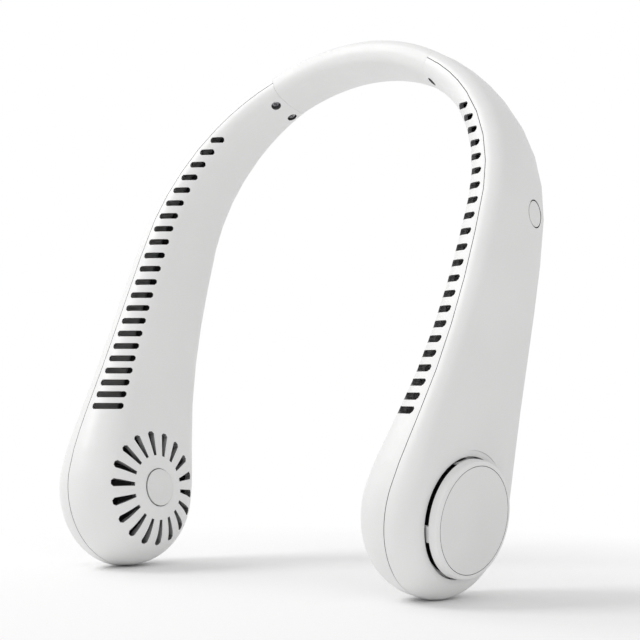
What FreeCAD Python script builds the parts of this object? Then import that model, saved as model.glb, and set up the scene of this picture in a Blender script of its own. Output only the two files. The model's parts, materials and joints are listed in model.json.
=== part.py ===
import FreeCAD, Part
import math
import os
import Sketcher
from FreeCAD import Placement, Rotation, Vector

# Electric neck fan: two arms on a soft neck band, a blower in the round end of each arm.
# Millimetres and degrees. The U is drawn upright in the XZ plane with its crown at the origin,
# front towards -Y, and every piece is then leaned back and set down on the floor.

doc = FreeCAD.newDocument("NeckFan")

SIZES = {
    # the line that the arms follow: three tangent arcs from the crown down to the fan axis
    "lean_angle": 19,
    "crown_radius": 91.5,
    "crown_angle": 54.8,
    "shoulder_radius": 86.7,
    "shoulder_angle": 31.9,
    "arm_radius": 599,
    "end_reach": 251.8,
    "fan_drop": 0.5,
    "band_reach": 44.5,
    # sections: width front to back, depths from the seam to the inner and the outer face
    "band_width": 23.2,
    "band_inner_depth": 7.5,
    "band_outer_depth": 5.5,
    "paddle_diameter": 64.6,
    "paddle_inner_depth": 23,
    "paddle_outer_depth": 13.9,
    "dome_angle": 15,
    "shell_wall": 1.8,
    "seam_gap": 0.25,
    "joint_gap": 0.3,
    "overrun": 4,
    "fit_gap": 0.15,
    "seat_gap": 0.3,
    # outlet slots along the front inner corner of each arm
    "slot_reach": 82,
    "slot_pitch_top": 7.6,
    "slot_pitch_bottom": 5.6,
    "slot_height": 2.6,
    # sunburst intake and badge on the inner face of the round end
    "ray_inner_radius": 13.9,
    "ray_outer_radius": 24.4,
    "ray_inner_width": 1.4,
    "ray_outer_width": 3.4,
    "badge_radius": 7.85,
    "badge_groove": 0.3,
    "badge_thickness": 1.0,
    # round cap over the outer intake
    "cap_radius": 22.0,
    "cap_top": 15.7,
    "cap_rim": 12,
    "cap_seat": 8.4,
    "cap_wall": 1.6,
    "cap_plate": 1.5,
    "cap_round": 1.5,
    "cap_round_near": 0.45,
    "disc_radius": 19.8,
    "disc_thickness": 0.9,
    "disc_groove": 0.2,
    "slit_width": 0.6,
    "dish_width": 2.3,
    "dish_depth": 0.6,
    "collar_width": 4.0,
    "collar_bottom": 3.4,
    "ledge_width": 1.7,
    "lug_angle": 31,
    "lug_half_width": 3.0,
    "lug_set": 0.3,
    "lug_root": 0.4,
    # motor and impeller, all on the fan axis
    "flange_radius": 10.5,
    "flange_thickness": 1.6,
    "tube_radius": 3.0,
    "tube_length": 11.0,
    "shaft_radius": 1.0,
    "shaft_length": 14.0,
    "running_gap": 0.03,
    "stator_radius": 8.2,
    "stator_height": 6.0,
    "stator_drop": 2.8,
    "stator_notch_width": 2.2,
    "stator_notch_depth": 3.4,
    "air_gap": 0.5,
    "hub_wall": 2.3,
    "hub_plate": 1.4,
    "hub_height": 11.2,
    "hub_rise": 10.2,
    "blade_inner_radius": 12.6,
    "blade_reach": 18.0,
    "blade_sweep": 8.6,
    "blade_thickness": 1.0,
    "blade_height": 15.4,
    "blade_top_gap": 0.8,
    "web_radius": 20.8,
    "web_thickness": 1.2,
    # spiral wall round the impeller and the wall behind the outlet slots
    "scroll_radius": 22.4,
    "scroll_growth": 0.85,
    "scroll_wall": 1.2,
    "scroll_height": 13.9,
    "scroll_rise": 9.0,
    "duct_wall": 1.2,
    "duct_offset": 3.0,
    "duct_top": 78,
    "duct_bottom": 226,
    # cells, board, switch and charging socket
    "battery_after_button": 35,
    "battery_before_end": 37.5,
    "battery_width": 13,
    "battery_depth": 10,
    "battery_round": 2,
    "battery_inset": 7.7,
    "button_reach": 131.5,
    "button_offset": 5.5,
    "button_radius": 5.35,
    "button_gap": 0.25,
    "button_lip": 0.65,
    "button_rise": 0.1,
    "button_lip_height": 1.0,
    "button_lip_drop": 3.2,
    "stem_radius": 1.5,
    "press_gap": 0.9,
    "board_length": 40,
    "board_width": 14.5,
    "board_thickness": 1.2,
    "board_inset": 2.0,
    "switch_size": 4.6,
    "switch_height": 2.4,
    "switch_edge": 1.1,
    "plunger_height": 0.6,
    "port_drop": 15,
    "port_width": 8.9,
    "port_height": 3.2,
    "port_depth": 9.0,
    "port_wall": 0.3,
    "port_floor": 1.5,
    "tongue_width": 6.6,
    "tongue_height": 0.7,
    # screws that hold the shells together beside the band
    "screw_after_joint": 5,
    "screw_offset": 5.8,
    "screw_head_radius": 1.9,
    "screw_head_height": 1.4,
    "screw_radius": 1.0,
    "screw_length": 7.4,
    "screw_seat": 4.5,
    "screw_bore_gap": 0.3,
    "post_wall": 1.1,
    # spring strip and flat cable through the band
    "core_width": 4.6,
    "core_thickness": 0.9,
    "core_tail": 2.8,
    "cable_width": 4.4,
    "cable_thickness": 1.4,
    "cable_inset": 3.4,
}
SLOT_COUNT = 22
RAY_COUNT = 18
LUG_COUNT = 4
BLADE_COUNT = 11
NOTCH_COUNT = 6
SCREW_SIDES = 12
SCROLL_CHORDS = 5

# how far each section has grown from the band's size to the round end's, by place along the arm
place_shares = (0, 0.15, 0.30, 0.45, 0.60, 0.75, 0.88, 0.95, 1)
width_shares = (0, 0.107, 0.222, 0.355, 0.472, 0.641, 0.865, 0.973, 1)
inner_shares = (0, 0.074, 0.208, 0.347, 0.461, 0.612, 0.82, 0.958, 1)
outer_shares = (0, 0.189, 0.387, 0.48, 0.485, 0.505, 0.68, 0.924, 1)
side_share = 0.12
slot_front_share = 0.15
slot_back_share = 0.77
bevel_share = 0.55

sheet = doc.addObject("Spreadsheet::Sheet", "Sizes")
for row, (name, value) in enumerate(SIZES.items(), 1):
    sheet.set("A%d" % row, name)
    sheet.set("B%d" % row, str(value))
    sheet.setAlias("B%d" % row, name)
doc.recompute()


def size(name):
    return float(sheet.get(name))


def total(formula):
    """Sum of named sizes, such as 'cap_radius - cap_wall'."""
    result, sign = 0.0, 1
    for word in formula.split():
        if word in "+-":
            sign = 1 if word == "+" else -1
        else:
            result += sign * size(word)
    return result


def bound(formula):
    """The same sum as a formula on the sheet's cells."""
    return " ".join(word if word in "+-" else "Sizes." + word for word in formula.split())


# The arm line and its sections

wall = size("shell_wall")
gap = size("seam_gap") / 2
over = size("overrun")
fit = size("fit_gap")
arm_start = total("band_reach + joint_gap")
end_reach = size("end_reach")
rear = Vector(0, 1, 0)


def station(reach):
    """Point on the arm line, direction along it, and direction out of the U."""
    left, turn = reach, 0.0
    x = z = 0.0
    bends = (
        (size("crown_radius"), math.radians(size("crown_angle"))),
        (size("shoulder_radius"), math.radians(size("shoulder_angle"))),
        (size("arm_radius"), math.pi),
    )
    for radius, most in bends:
        bend = min(left / radius, most)
        x += radius * (math.sin(turn + bend) - math.sin(turn))
        z -= radius * (math.cos(turn) - math.cos(turn + bend))
        turn += bend
        left -= radius * bend
    along = Vector(math.cos(turn), 0, -math.sin(turn))
    out = Vector(math.sin(turn), 0, math.cos(turn))
    return Vector(x, 0, z), along, out


def grown(shares, reach):
    """Cubic through a table of shares, level where it meets the round end."""
    at = min(max((reach - size("band_reach")) / total("end_reach - band_reach"), 0), 1)
    last = len(place_shares) - 1
    slopes = []
    for i in range(last + 1):
        a, b = max(i - 1, 0), min(i + 1, last)
        slopes.append((shares[b] - shares[a]) / (place_shares[b] - place_shares[a]))
    slopes[last] = 0
    k = max(i for i in range(last) if place_shares[i] <= at)
    step = place_shares[k + 1] - place_shares[k]
    u = (at - place_shares[k]) / step
    rise = shares[k + 1] - shares[k]
    start, end = slopes[k] * step - rise, slopes[k + 1] * step - rise
    return shares[k] + u * rise + u * (1 - u) * (start * (1 - u) - end * u)


def section(reach, side):
    """Half width, depth, corner radius, corner centre height and dome radius; side is -1 for inner."""
    half = (size("band_width") + grown(width_shares, reach) * total("paddle_diameter - band_width")) / 2
    if side < 0:
        thin, thick, shares = size("band_inner_depth"), size("paddle_inner_depth"), inner_shares
    else:
        thin, thick, shares = size("band_outer_depth"), size("paddle_outer_depth"), outer_shares
    depth = thin + grown(shares, reach) * (thick - thin)
    low = side_share * depth
    dome = math.radians(size("dome_angle"))
    rise = math.tan(dome / 2)
    corner = (depth - low - half * rise) / (1 - rise)
    crown = corner + (half - corner) / math.sin(dome)
    return half, depth, corner, low, crown


def height_at(reach, side, offset, inset=0):
    """Depth of the face, or of one set inward, at an offset from the middle within its dome."""
    half, depth, corner, low, crown = section(reach, side)
    radius = crown - inset
    return depth - crown + math.sqrt(radius * radius - offset * offset)


def placed(reach, side):
    """Maps an offset to the rear and a depth from the seam to a point of the section."""
    centre, along, out = station(reach)
    return lambda offset, depth: centre + rear * offset + out * (side * depth)


def skin_edges(reach, side, half_only=False):
    """Outside of a half section: sides, corner arcs and a dome, closed along the seam."""
    half, depth, corner, low, crown = section(reach, side)
    at = placed(reach, side)
    dome = math.radians(size("dome_angle"))

    def round_corner(angle, hand):
        return at(hand * (half - corner + corner * math.cos(angle)), low + corner * math.sin(angle))

    def round_dome(angle):
        return at(crown * math.sin(angle), depth - crown + crown * math.cos(angle))

    quarter = math.pi / 2 - dome
    back = [
        Part.Arc(round_dome(dome), round_corner(quarter / 2, 1), at(half, low)).toShape(),
        Part.LineSegment(at(half, low), at(half, gap)).toShape(),
    ]
    if half_only:
        return [
            Part.Arc(at(0, depth), round_dome(dome / 2), round_dome(dome)).toShape(),
            back[0],
            back[1],
            Part.LineSegment(at(half, gap), at(0, gap)).toShape(),
            Part.LineSegment(at(0, gap), at(0, depth)).toShape(),
        ]
    return [
        Part.LineSegment(at(-half, gap), at(-half, low)).toShape(),
        Part.Arc(at(-half, low), round_corner(quarter / 2, -1), round_dome(-dome)).toShape(),
        Part.Arc(round_dome(-dome), at(0, depth), round_dome(dome)).toShape(),
        back[0],
        back[1],
        Part.LineSegment(at(half, gap), at(-half, gap)).toShape(),
    ]


def cavity_points(reach, side, half_only=False):
    """Inside of a half section, one wall in from the skin, in straight chords, past the seam."""
    half, depth, corner, low, crown = section(reach, side)
    at = placed(reach, side)
    dome = math.radians(size("dome_angle"))
    quarter = math.pi / 2 - dome
    bend = corner - wall
    roof = crown - wall
    back = [(0, depth - wall)]
    for k in (2, 1, 0):
        angle = quarter * k / 2
        back.append((half - corner + bend * math.cos(angle), low + bend * math.sin(angle)))
    back.append((half - wall, -over))
    if half_only:
        return [at(*p) for p in back] + [at(0, -over)]
    front = [(-b, n) for b, n in reversed(back[1:])]
    return [at(*p) for p in front + back]


def cavity_height(reach, side, offset):
    """Height of the cavity's roof at an offset on its two long chords."""
    half, depth, corner, low, crown = section(reach, side)
    quarter = math.pi / 2 - math.radians(size("dome_angle"))
    bend = corner - wall
    edge, eaves = half - corner + bend * math.cos(quarter), low + bend * math.sin(quarter)
    return depth - wall - (depth - wall - eaves) * abs(offset) / edge


def feature(name, shape):
    made = doc.addObject("Part::Feature", name)
    made.Shape = shape
    return made


def closed(points):
    return Part.makePolygon(list(points) + [points[0]])


def hull(name, side, reaches, wire_of, face_of):
    """Arm lofted through its sections, with the round end turned about its own axis."""
    rings = [feature("%s_ring_%d" % (name, i), wire_of(r, side)) for i, r in enumerate(reaches)]
    arm = doc.addObject("Part::Loft", name + "_arm")
    arm.Sections = rings
    arm.Solid = True
    arm.Ruled = True
    centre, along, out = station(end_reach)
    profile = feature(name + "_profile", Part.Face(face_of(end_reach, side)))
    end = doc.addObject("Part::Revolution", name + "_end")
    end.Source = profile
    end.Base = centre
    end.Axis = rear.cross(along)
    end.Angle = 180
    end.Solid = False
    joined = doc.addObject("Part::MultiFuse", name)
    joined.Shapes = [arm, end]
    return joined


def spread(first, last, count):
    return [first + (last - first) * i / count for i in range(count)]


def slot_at(index):
    """Reach of a slot's middle, or of a place between two; the pitch shrinks evenly down the row."""
    top, bottom = size("slot_pitch_top"), size("slot_pitch_bottom")
    return size("slot_reach") + index * (top + (bottom - top) * index / (2 * SLOT_COUNT))


row_start = slot_at(-0.5)
row_end = slot_at(SLOT_COUNT - 0.5)
bend_end = slot_at(SLOT_COUNT // 3 - 0.5)
skin_reaches = spread(arm_start, row_start, 4) + spread(row_start, bend_end, 4)
skin_reaches += spread(bend_end, row_end, 5) + spread(row_end, end_reach, 3) + [end_reach]
hollow_reaches = spread(arm_start + wall, row_start, 2) + spread(row_start, row_end, 6)
hollow_reaches += spread(row_end, end_reach, 2) + [end_reach]


def skin_wire(reach, side):
    return Part.Wire(skin_edges(reach, side))


def skin_half(reach, side):
    return Part.Wire(skin_edges(reach, side, True))


def cavity_wire(reach, side):
    return closed(cavity_points(reach, side))


def cavity_half(reach, side):
    return closed(cavity_points(reach, side, True))


inner_skin = hull("inner_skin", -1, skin_reaches, skin_wire, skin_half)
inner_hollow = hull("inner_hollow", -1, hollow_reaches, cavity_wire, cavity_half)
outer_skin = hull("outer_skin", 1, skin_reaches, skin_wire, skin_half)
outer_hollow = hull("outer_hollow", 1, hollow_reaches, cavity_wire, cavity_half)
doc.recompute()

# Frames for the pieces inside: X to the rear, Y up the arm, Z out of the U


def frame_at(reach, offset=0, depth=0, tilt=0):
    centre, along, out = station(reach)
    turned = Rotation(rear, along * -1, out, "ZXY")
    return Placement(centre + rear * offset + out * depth, turned * Rotation(Vector(0, 1, 0), tilt))


fan_frame = frame_at(end_reach).multiply(Placement(Vector(0, -size("fan_drop"), 0), Rotation()))


def in_frame(shape, frame):
    moved = shape.copy()
    moved.Placement = frame.multiply(moved.Placement)
    return moved


def drum(radius, bottom, top):
    return Part.makeCylinder(radius, top - bottom, Vector(0, 0, bottom))


def prism(radius, bottom, top, across=0):
    """Round rod with few flat sides."""
    turns = [2 * math.pi * (i + 0.5) / SCREW_SIDES for i in range(SCREW_SIDES)]
    ring = [Vector(across + radius * math.cos(t), radius * math.sin(t), bottom) for t in turns]
    return Part.Face(closed(ring)).extrude(Vector(0, 0, top - bottom))


def long_hole(middle, along, up, length, radius):
    """Outline of a slot with bevelled ends; up carries half its height."""
    bevel = bevel_share * radius
    edge = along * (length / 2)
    back = along * (length / 2 - bevel)
    low = up * (1 - bevel_share)
    ring = [back + up, edge + low, edge - low, back - up]
    ring += [v * -1 for v in ring]
    return closed([middle + v for v in ring])


def fused(name, base, tools):
    joined = doc.addObject("Part::MultiFuse", name)
    joined.Shapes = [base] + tools
    return joined


def cut(name, base, tool):
    left = doc.addObject("Part::Cut", name)
    left.Base = base
    left.Tool = tool
    return left


# Screw posts: one in each shell at each screw, with their bores and the sunk head

screw_reach = total("band_reach + screw_after_joint")
screw_frame = frame_at(screw_reach)
screw_offset = size("screw_offset")
head_hole = total("screw_head_radius + screw_bore_gap")
inner_post = head_hole + size("post_wall")
outer_post = total("screw_radius + post_wall + screw_bore_gap")
inner_face = -height_at(screw_reach, -1, screw_offset)
inner_roof = -height_at(screw_reach, -1, screw_offset, wall)
outer_roof = height_at(screw_reach, 1, screw_offset, wall)
screw_tip = size("screw_length") - size("screw_seat")
sides = (-screw_offset, screw_offset)


def at_screws(radius, bottom, top):
    shapes = [prism(radius, bottom, top, offset) for offset in sides]
    return in_frame(Part.makeCompound(shapes), screw_frame)


sink = size("screw_seat")
inner_posts = feature("inner_posts", at_screws(inner_post, inner_roof - wall / 2, -gap))
outer_posts = feature("outer_posts", at_screws(outer_post, gap, outer_roof + wall / 2))
head_holes = at_screws(head_hole, inner_face - over, -sink)
shank_holes = at_screws(total("screw_radius + screw_bore_gap"), -sink - fit, over)
thread_holes = at_screws(total("screw_radius + running_gap"), -over, screw_tip + fit)

# Slots in the end walls for the spring strip and the cable, round the crown's centre

crown_radius = size("crown_radius")
crown_centre = Vector(0, 0, -crown_radius)
tail = total("band_reach + core_tail")


def strip_run(width, thickness, depth, first, last):
    """Flat strip along the crown's arc between two reaches."""
    low, high = depth - thickness / 2, depth + thickness / 2
    edge = width / 2
    corners = ((-edge, low), (edge, low), (edge, high), (-edge, high))
    face = Part.Face(closed([Vector(0, b, n) for b, n in corners]))
    face.rotate(crown_centre, rear, math.degrees(first / crown_radius))
    return face.revolve(crown_centre, rear, math.degrees((last - first) / crown_radius))


def band_strips(first, last, spare=0):
    core = strip_run(size("core_width") + spare, size("core_thickness") + spare, 0, first, last)
    cable = strip_run(size("cable_width") + spare, size("cable_thickness") + spare,
                      -size("cable_inset"), first, last)
    return [core, cable]


strip_slots = band_strips(size("band_reach") - over, arm_start + over, fit + fit)

# Outlet slots: they wrap the front inner corner and lie level when the U leans back

lean_angle = math.radians(size("lean_angle"))
upright = Vector(0, -math.sin(lean_angle), math.cos(lean_angle))


def slot_cutter(index):
    reach = slot_at(index)
    half, depth, corner, low, crown = section(reach, -1)
    at = placed(reach, -1)
    front = at(-half, slot_front_share * depth)
    back = at(-slot_back_share * half, slot_back_share * depth)
    middle = (front + back) * 0.5
    along = back - front
    length = along.Length
    along -= upright * along.dot(upright)
    along.normalize()
    outward = along.cross(upright)
    radius = size("slot_height") / 2
    outline = long_hole(middle - outward * over, along, upright * radius, length, radius)
    return Part.Face(outline).extrude(outward * (over + over))


slots = [slot_cutter(i) for i in range(SLOT_COUNT)]

# Sunburst rays: wide bevelled outer ends, narrow square inner ends, one pointing up the arm

ray_in, ray_out = size("ray_inner_radius"), size("ray_outer_radius")
narrow, wide = size("ray_inner_width") / 2, size("ray_outer_width") / 2
deep = -size("paddle_inner_depth") - over
tip = (1 - bevel_share) * wide
back = [(narrow, ray_in), (wide, ray_out - bevel_share * wide), (tip, ray_out)]
ray = [Vector(x, y, deep) for x, y in back] + [Vector(-x, y, deep) for x, y in reversed(back)]
ray = Part.Face(closed(ray)).extrude(Vector(0, 0, size("paddle_inner_depth")))
rays = []
for i in range(RAY_COUNT):
    turned = ray.copy()
    turned.rotate(Vector(0, 0, 0), Vector(0, 0, 1), 360 * i / RAY_COUNT)
    rays.append(in_frame(turned, fan_frame))

badge_floor = size("badge_thickness") - size("paddle_inner_depth")
badge_hole = in_frame(drum(total("badge_radius + badge_groove"), deep, badge_floor), fan_frame)

inner_cuts = feature("inner_cuts", Part.makeCompound(slots + rays + [badge_hole]))
inner_bores = feature("inner_bores", head_holes.fuse([shank_holes] + strip_slots))
inner_wall = cut("inner_wall", inner_skin, inner_hollow)
inner_open = cut("inner_open", inner_wall, inner_cuts)
inner_shell = cut("inner_shell", fused("inner_posted", inner_open, [inner_posts]), inner_bores)

# Outer shell: collar with a ledge that carries the cap, and a dished edge round its opening

opening = total("cap_radius + slit_width")
ledge = opening - size("ledge_width")
collar_low = size("collar_bottom")
rim_height = height_at(end_reach, 1, opening)
dish_edge = opening + size("dish_width")
dish_height = height_at(end_reach, 1, dish_edge)
collar_radius = opening + size("collar_width")
collar_roof = height_at(end_reach, 1, collar_radius, wall)
collar = drum(collar_radius, collar_low, collar_roof + wall / 2)
collar = feature("collar", in_frame(collar, fan_frame))
above = size("cap_top") + over
mouth = closed([
    Vector(0, 0, collar_low - over),
    Vector(ledge, 0, collar_low - over),
    Vector(ledge, 0, size("cap_seat")),
    Vector(opening, 0, size("cap_seat")),
    Vector(opening, 0, rim_height - size("dish_depth")),
    Vector(dish_edge, 0, dish_height),
    Vector(dish_edge, 0, above),
    Vector(0, 0, above),
])
mouth = Part.Face(mouth).revolve(Vector(0, 0, 0), Vector(0, 0, 1), 360)
cap_cut = feature("cap_cut", in_frame(mouth, fan_frame))
outer_bores = feature("outer_bores", thread_holes.fuse(strip_slots))
outer_wall = cut("outer_wall", outer_skin, outer_hollow)
outer_ready = fused("outer_posted", outer_wall, [outer_posts, collar])
outer_holed = cut("outer_holed", outer_ready, cap_cut)
outer_shell = cut("outer_shell", outer_holed, outer_bores)
doc.recompute()

# Neck band, turned about the crown's centre from its own section

band_reach = size("band_reach")
sleeve_angle = math.degrees(band_reach / crown_radius)


def seam_lines():
    half = section(0, 1)[0]
    return [Part.LineSegment(Vector(0, s * half, -gap), Vector(0, s * half, gap)).toShape() for s in (-1, 1)]


ring_edges = skin_edges(0, -1)[:5] + skin_edges(0, 1)[:5] + seam_lines()
band_face = Part.Face(Part.Wire(Part.__sortEdges__(ring_edges)))
band_face.rotate(crown_centre, rear, -sleeve_angle)
band_solid = band_face.revolve(crown_centre, rear, sleeve_angle + sleeve_angle)

# The whole U leans back and stands on its round ends, centred on the origin

lean = Rotation(Vector(1, 0, 0), -size("lean_angle"))
box = FreeCAD.BoundBox()
for shape in (inner_skin.Shape, outer_skin.Shape, band_solid):
    leaned = shape.copy()
    leaned.Placement = Placement(Vector(0, 0, 0), lean)
    box.add(leaned.optimalBoundingBox(False, False))
set_down = Placement(Vector(0, -box.Center.y, -box.ZMin), lean)
for piece in (inner_shell, outer_shell):
    piece.Placement = set_down


def stood(name, shape):
    made = feature(name, shape)
    made.Placement = set_down.multiply(made.Placement)
    return made


# Button and charging port openings, in the right arm only

button_reach = size("button_reach")
button_offset = size("button_offset")
button_tilt = math.degrees(math.asin(button_offset / section(button_reach, 1)[4]))
button_top = height_at(button_reach, 1, button_offset)
button_frame = frame_at(button_reach, button_offset, button_top, button_tilt)
board_face = -size("board_inset")
port_reach = button_reach + size("port_drop")
port_middle = board_face + size("port_height") / 2
port_mouth = section(port_reach, 1)[0] - size("seat_gap")


def level_slot(width, height, depth):
    """Prism with bevelled ends, width along Y and height along Z, running to -X from the origin."""
    outline = long_hole(Vector(0, 0, 0), Vector(0, 1, 0), Vector(0, 0, height / 2), width, height / 2)
    return Part.Face(outline).extrude(Vector(-depth, 0, 0))


port_frame = frame_at(button_reach, port_mouth, port_middle)
port_frame = port_frame.multiply(Placement(Vector(0, -size("port_drop"), 0), Rotation()))
port_hole = level_slot(size("port_width") + fit + fit, size("port_height") + fit + fit, over + over)
port_hole.translate(Vector(over, 0, 0))
port_cut = in_frame(port_hole, port_frame)
button_hole = in_frame(drum(total("button_radius + button_gap"), -over, over), button_frame)
right_inner_shell = cut("right_inner_cut", inner_shell, stood("port_cut", port_cut))
right_outer_shell = cut("right_outer_cut", outer_shell, stood("port_button_cut", port_cut.fuse(button_hole)))

# Bodies on the fan axis


def body_at(label, placement):
    body = doc.addObject("PartDesign::Body", label + "_body")
    body.Placement = set_down.multiply(placement)
    return body


def plane_of(body, role):
    return [(f, "") for f in body.Origin.OriginFeatures if f.Role == role]


def sketch_on(body, role, name):
    sketch = body.newObject("Sketcher::SketchObject", name)
    sketch.AttachmentSupport = plane_of(body, role)
    sketch.MapMode = "FlatFace"
    return sketch


def pin_point(sketch, line, spot, across, up):
    """Ties a point to the two axes by formulas on the sheet."""
    for formula, kind, axis in ((across, "DistanceX", -2), (up, "DistanceY", -1)):
        if formula == "0":
            sketch.addConstraint(Sketcher.Constraint("PointOnObject", line, spot, axis))
        else:
            made = sketch.addConstraint(
                Sketcher.Constraint(kind, -1, 1, line, spot, total(formula)))
            sketch.setExpression("Constraints[%d]" % made, bound(formula))


def place_of(formula):
    return 0.0 if formula == "0" else total(formula)


def draw_outline(sketch, corners):
    """Closed outline of straight sides, each corner given by two formulas."""
    points = [Vector(place_of(a), place_of(b), 0) for a, b in corners]
    count = len(points)
    for i in range(count):
        sketch.addGeometry(Part.LineSegment(points[i], points[(i + 1) % count]))
    for i in range(count):
        sketch.addConstraint(Sketcher.Constraint("Coincident", i, 2, (i + 1) % count, 1))
    for i, (across, up) in enumerate(corners):
        pin_point(sketch, i, 1, across, up)


def draw_circle(sketch, formula):
    ring = sketch.addGeometry(Part.Circle(Vector(0, 0, 0), Vector(0, 0, 1), total(formula)))
    sketch.addConstraint(Sketcher.Constraint("Coincident", ring, 3, -1, 1))
    made = sketch.addConstraint(Sketcher.Constraint("Radius", ring, total(formula)))
    sketch.setExpression("Constraints[%d]" % made, bound(formula))
    return ring


def turn(body, corners, name="turned"):
    """Solid of revolution about the body's Z axis from an outline in radius and height."""
    sketch = sketch_on(body, "XZ_Plane", name + "_outline")
    draw_outline(sketch, corners)
    made = body.newObject("PartDesign::Revolution", name)
    made.Profile = sketch
    made.ReferenceAxis = (sketch, ["V_Axis"])
    made.Angle = 360
    return made


def pad(body, sketch, length, name, reverse=False):
    made = body.newObject("PartDesign::Pad", name)
    made.Profile = sketch
    made.setExpression("Length", bound(length))
    made.Reversed = reverse
    return made


def polar(body, feature_made, count):
    made = body.newObject("PartDesign::PolarPattern", feature_made.Name + "_ring")
    made.Originals = [feature_made]
    made.Axis = ([f for f in body.Origin.OriginFeatures if f.Role == "Z_Axis"][0], [""])
    made.Angle = 360
    made.Occurrences = count
    body.Tip = made
    return made


def round_edges(body, base, formula, kind, wanted):
    """Fillet or chamfer on the edges of the last feature that a test picks out."""
    doc.recompute()
    names = ["Edge%d" % (i + 1) for i, edge in enumerate(base.Shape.Edges) if wanted(edge)]
    made = body.newObject("PartDesign::" + kind, base.Name + "_" + kind.lower())
    made.Base = (base, names)
    made.setExpression("Radius" if kind == "Fillet" else "Size", bound(formula))
    return made


def on_axis(height):
    return fan_frame.multiply(Placement(Vector(0, 0, height), Rotation()))


# Cap: a shallow cup upside down, held above its opening by four lugs that stand on the ledge

cap_seat = size("cap_seat")
lug_turn = Placement(Vector(0, 0, 0), Rotation(Vector(0, 0, 1), size("lug_angle")))
cap = body_at("right_fan_cap", on_axis(cap_seat).multiply(lug_turn))
turn(cap, [
    ("0", "cap_top - cap_seat - disc_thickness - cap_plate"),
    ("cap_radius - cap_wall", "cap_top - cap_seat - disc_thickness - cap_plate"),
    ("cap_radius - cap_wall", "cap_rim - cap_seat"),
    ("cap_radius", "cap_rim - cap_seat"),
    ("cap_radius", "cap_top - cap_seat - cap_round"),
    ("cap_radius - cap_round_near", "cap_top - cap_seat - cap_round_near"),
    ("cap_radius - cap_round", "cap_top - cap_seat"),
    ("disc_radius + disc_groove", "cap_top - cap_seat"),
    ("disc_radius + disc_groove", "cap_top - cap_seat - disc_thickness"),
    ("0", "cap_top - cap_seat - disc_thickness"),
], "cap_cup")
lug_sketch = sketch_on(cap, "XY_Plane", "lug_outline")
draw_outline(lug_sketch, [
    ("cap_radius - cap_wall + lug_set", "- lug_half_width"),
    ("cap_radius - lug_set", "- lug_half_width"),
    ("cap_radius - lug_set", "lug_half_width"),
    ("cap_radius - cap_wall + lug_set", "lug_half_width"),
])
lug = pad(cap, lug_sketch, "cap_rim - cap_seat + lug_root", "lug")
polar(cap, lug, LUG_COUNT)

disc_floor = total("cap_top - disc_thickness")
disc = body_at("right_cap_disc", on_axis(disc_floor))
disc_sketch = sketch_on(disc, "XY_Plane", "disc_outline")
draw_circle(disc_sketch, "disc_radius")
pad(disc, disc_sketch, "disc_thickness", "disc_plate")

# Motor: base and bearing tube hang from the cap, the shaft turns in the tube

motor_top = total("cap_top - disc_thickness - cap_plate")
base_low = motor_top - total("flange_thickness + tube_length")
base = body_at("right_motor_base", on_axis(base_low))
turn(base, [
    ("shaft_radius + running_gap", "0"),
    ("tube_radius", "0"),
    ("tube_radius", "tube_length"),
    ("flange_radius", "tube_length"),
    ("flange_radius", "tube_length + flange_thickness"),
    ("shaft_radius + running_gap", "tube_length + flange_thickness"),
], "base_turned")

stator_low = base_low + total("tube_length - stator_drop - stator_height")
stator = body_at("right_stator", on_axis(stator_low))
turn(stator, [
    ("tube_radius + running_gap", "0"),
    ("stator_radius", "0"),
    ("stator_radius", "stator_height"),
    ("tube_radius + running_gap", "stator_height"),
], "stator_core")
notch_sketch = sketch_on(stator, "XY_Plane", "notch_outline")
draw_outline(notch_sketch, [
    ("stator_radius - stator_notch_depth", "0"),
    ("stator_radius + air_gap", "0"),
    ("stator_radius + air_gap", "stator_notch_width"),
    ("stator_radius - stator_notch_depth", "stator_notch_width"),
])
doc.recompute()
notch = stator.newObject("PartDesign::Pocket", "notch")
notch.Profile = notch_sketch
notch.Type = "ThroughAll"
notch.Reversed = True
polar(stator, notch, NOTCH_COUNT)

# Impeller: shaft, hub cup with the rotor magnets in its wall, a web, swept blades through the web

wheel_low = collar_low - total("blade_top_gap + blade_height")
wheel = body_at("right_impeller", on_axis(wheel_low))
hub_in = "stator_radius + air_gap"
hub_out = hub_in + " + hub_wall"
turn(wheel, [
    ("0", "hub_rise"),
    ("web_radius", "hub_rise"),
    ("web_radius", "hub_rise + web_thickness"),
    (hub_out, "hub_rise + web_thickness"),
    (hub_out, "hub_rise + hub_height"),
    (hub_in, "hub_rise + hub_height"),
    (hub_in, "hub_rise + hub_plate"),
    ("shaft_radius", "hub_rise + hub_plate"),
    ("shaft_radius", "hub_rise + shaft_length"),
    ("0", "hub_rise + shaft_length"),
], "hub")
blade_sketch = sketch_on(wheel, "XY_Plane", "blade_outline")
draw_outline(blade_sketch, [
    ("blade_inner_radius", "0"),
    ("blade_reach", "blade_sweep"),
    ("blade_reach", "blade_sweep + blade_thickness"),
    ("blade_inner_radius", "blade_thickness"),
])
blade = pad(wheel, blade_sketch, "blade_height", "blade")
polar(wheel, blade, BLADE_COUNT)

# Scroll: three quarter turns of growing radius, then straight up the front


def scroll_side(extra):
    start, growth = size("scroll_radius"), size("scroll_growth")
    spots = [Vector(0, 0, 0), Vector(-growth, 0, 0), Vector(-growth, growth, 0)]
    points = []
    for k, spot in enumerate(spots):
        radius = start + k * growth + extra
        for step in range(SCROLL_CHORDS + (k == 2)):
            turn_by = math.pi / 2 * (1 - k - step / SCROLL_CHORDS)
            points.append(spot + Vector(math.cos(turn_by), math.sin(turn_by), 0) * radius)
    return points + [points[-1] + Vector(0, size("scroll_rise"), 0)]


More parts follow.
